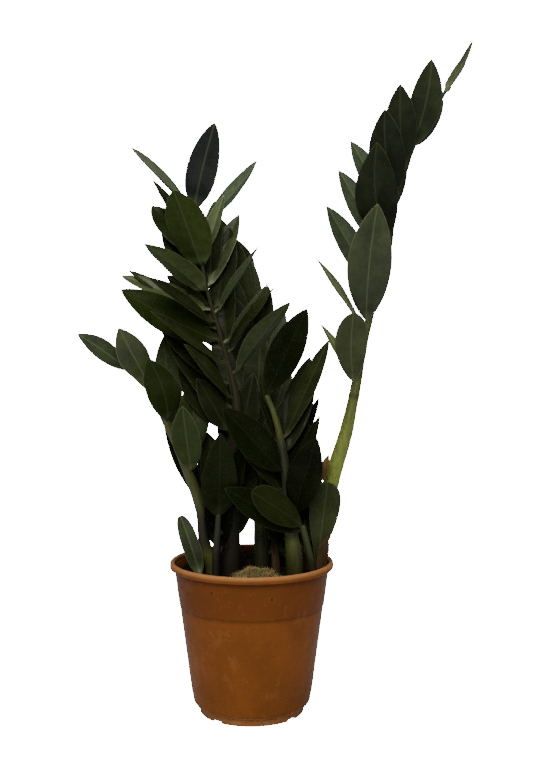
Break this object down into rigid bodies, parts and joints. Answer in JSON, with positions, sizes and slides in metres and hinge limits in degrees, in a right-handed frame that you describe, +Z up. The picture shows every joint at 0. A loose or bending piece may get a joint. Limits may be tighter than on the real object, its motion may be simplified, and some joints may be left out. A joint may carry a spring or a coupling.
{
  "type": "potted zz plant",
  "caption": "Upright houseplant with arching fronds of glossy dark pointed leaflets, rooted in soil in a tapered terracotta-coloured plastic nursery pot.",
  "frame": {"origin": "centre of the pot's foot, on the ground", "axes": "+Z up along the pot's axis; +X towards the side that the tallest frond leans to; -Y is the front of the plant"},
  "size_m": [0.3978, 0.169, 0.6934],
  "materials": {
    "pot": "satin",
    "soil": "matte",
    "moss": "matte",
    "stem": "satin",
    "leaf": "gloss",
    "dry": "matte"
  },
  "bodies": {
    "root": {"pot": "pot", "soil": "soil", "moss": "moss", "right_stem": "stem", "centre_stem": "stem", "back_stem": "stem", "left_stem": "stem", "middle_stem": "stem", "front_left_stem": "stem", "front_right_stem": "stem", "dry_stalk": "dry", "right_leaf_1": "leaf", "right_leaf_2": "leaf", "right_leaf_3": "leaf", "right_leaf_4": "leaf", "right_leaf_5": "leaf", "right_leaf_6": "leaf", "right_leaf_7": "leaf", "right_leaf_8": "leaf", "right_leaf_9": "leaf", "right_leaf_10": "leaf", "right_leaf_11": "leaf", "right_leaf_12": "leaf", "centre_leaf_1": "leaf", "centre_leaf_2": "leaf", "centre_leaf_3": "leaf", "centre_leaf_4": "leaf", "centre_leaf_5": "leaf", "centre_leaf_6": "leaf", "centre_leaf_7": "leaf", "centre_leaf_8": "leaf", "centre_leaf_9": "leaf", "centre_leaf_10": "leaf", "centre_leaf_11": "leaf", "centre_leaf_12": "leaf", "centre_leaf_13": "leaf", "centre_leaf_14": "leaf", "centre_leaf_15": "leaf", "centre_leaf_16": "leaf", "back_leaf_1": "leaf", "back_leaf_2": "leaf", "back_leaf_3": "leaf", "left_leaf_1": "leaf", "left_leaf_2": "leaf", "left_leaf_3": "leaf", "left_leaf_4": "leaf", "left_leaf_5": "leaf", "middle_leaf_1": "leaf", "middle_leaf_2": "leaf", "middle_leaf_3": "leaf", "middle_leaf_4": "leaf", "middle_leaf_5": "leaf", "middle_leaf_6": "leaf", "front_left_leaf_1": "leaf", "front_left_leaf_2": "leaf", "front_right_leaf_1": "leaf", "young_leaf_right": "leaf", "young_leaf_left": "leaf", "dry_sheath": "dry", "dry_scale": "dry"}
  },
  "joints": []
}
